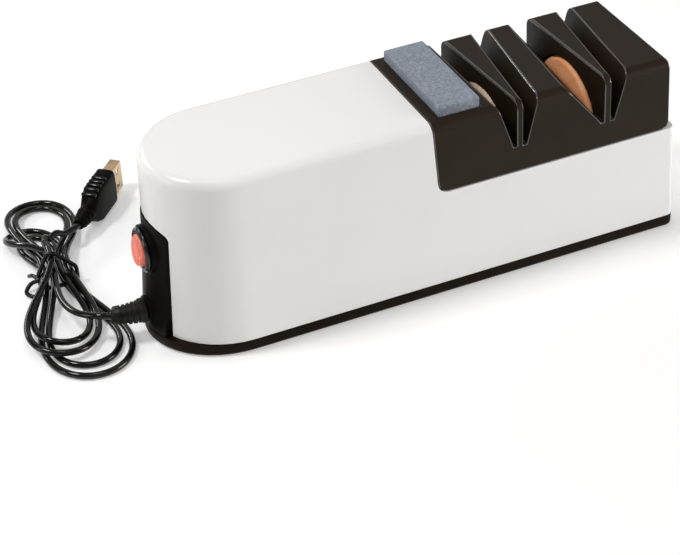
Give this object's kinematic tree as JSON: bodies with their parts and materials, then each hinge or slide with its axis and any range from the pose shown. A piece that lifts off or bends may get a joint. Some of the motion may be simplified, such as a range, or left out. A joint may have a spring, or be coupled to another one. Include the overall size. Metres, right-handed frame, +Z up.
{
  "type": "electric knife sharpener",
  "caption": "Long cord-fed knife sharpener: half-round white shell, black guide block with four knife slots over two abrasive wheels, a whetstone on top, rocker switch and tied USB cord.",
  "frame": {"origin": "on the table under the middle of the body, rocker included and cord left out", "axes": "+X from the half-round end to the square end, +Y to the side away from the cord's exit view, +Z up"},
  "size_m": [0.2512, 0.1328, 0.0791],
  "materials": {
    "white_shell": "gloss white",
    "black_plastic": "satin black",
    "guide_plastic": "satin brownish black",
    "red_plastic": "gloss red",
    "whetstone": "mottled grey blue, matt",
    "ivory_abrasive": "fine grit, matt",
    "orange_abrasive": "coarse grit, matt",
    "cord_rubber": "gloss black",
    "steel": "bright",
    "plated_shell": "plated, warm",
    "tongue": "white",
    "bronze": "sintered",
    "board": "green board",
    "foot_rubber": "matt",
    "frame_plastic": "matt dark grey"
  },
  "bodies": {
    "body": {"housing": "white_shell", "base_plate": "black_plastic", "slot_insert": "guide_plastic", "whetstone": "whetstone", "end_panel": "black_plastic", "switch_bezel": "black_plastic", "strain_relief": "cord_rubber", "motor_can": "steel", "motor_end_cap": "frame_plastic", "motor_cradle": "frame_plastic", "bearing_left": "bronze", "bearing_right": "bronze", "bearing_post_left": "frame_plastic", "bearing_post_right": "frame_plastic", "circuit_board": "board", "rubber_foot_1": "foot_rubber", "rubber_foot_2": "foot_rubber", "rubber_foot_3": "foot_rubber", "rubber_foot_4": "foot_rubber", "base_screw_1": "steel", "base_screw_2": "steel", "base_screw_3": "steel", "base_screw_4": "steel", "cord_lead": "cord_rubber", "cord_hank": "cord_rubber", "cord_tail": "cord_rubber", "cord_tie": "cord_rubber", "plug_grip": "black_plastic", "plug_shell": "plated_shell", "plug_tongue": "tongue"},
    "rocker": {"switch_rocker": "red_plastic"},
    "spindle": {"motor_shaft": "steel", "shaft_coupling": "bronze", "wheel_shaft": "steel", "wheel_spacer": "frame_plastic", "shaft_nut": "steel", "fine_wheel": "ivory_abrasive", "coarse_wheel": "orange_abrasive"}
  },
  "joints": [
    {"name": "rocker_tip", "type": "hinge", "parent": "body", "child": "rocker", "pos_m": [-0.10176, 0, 0.0379], "axis": [0, -1, 0], "range_deg": [0, 20]},
    {"name": "spindle_spin", "type": "hinge", "parent": "body", "child": "spindle", "pos_m": [0, 0, 0.0478], "axis": [1, 0, 0], "continuous": true}
  ]
}
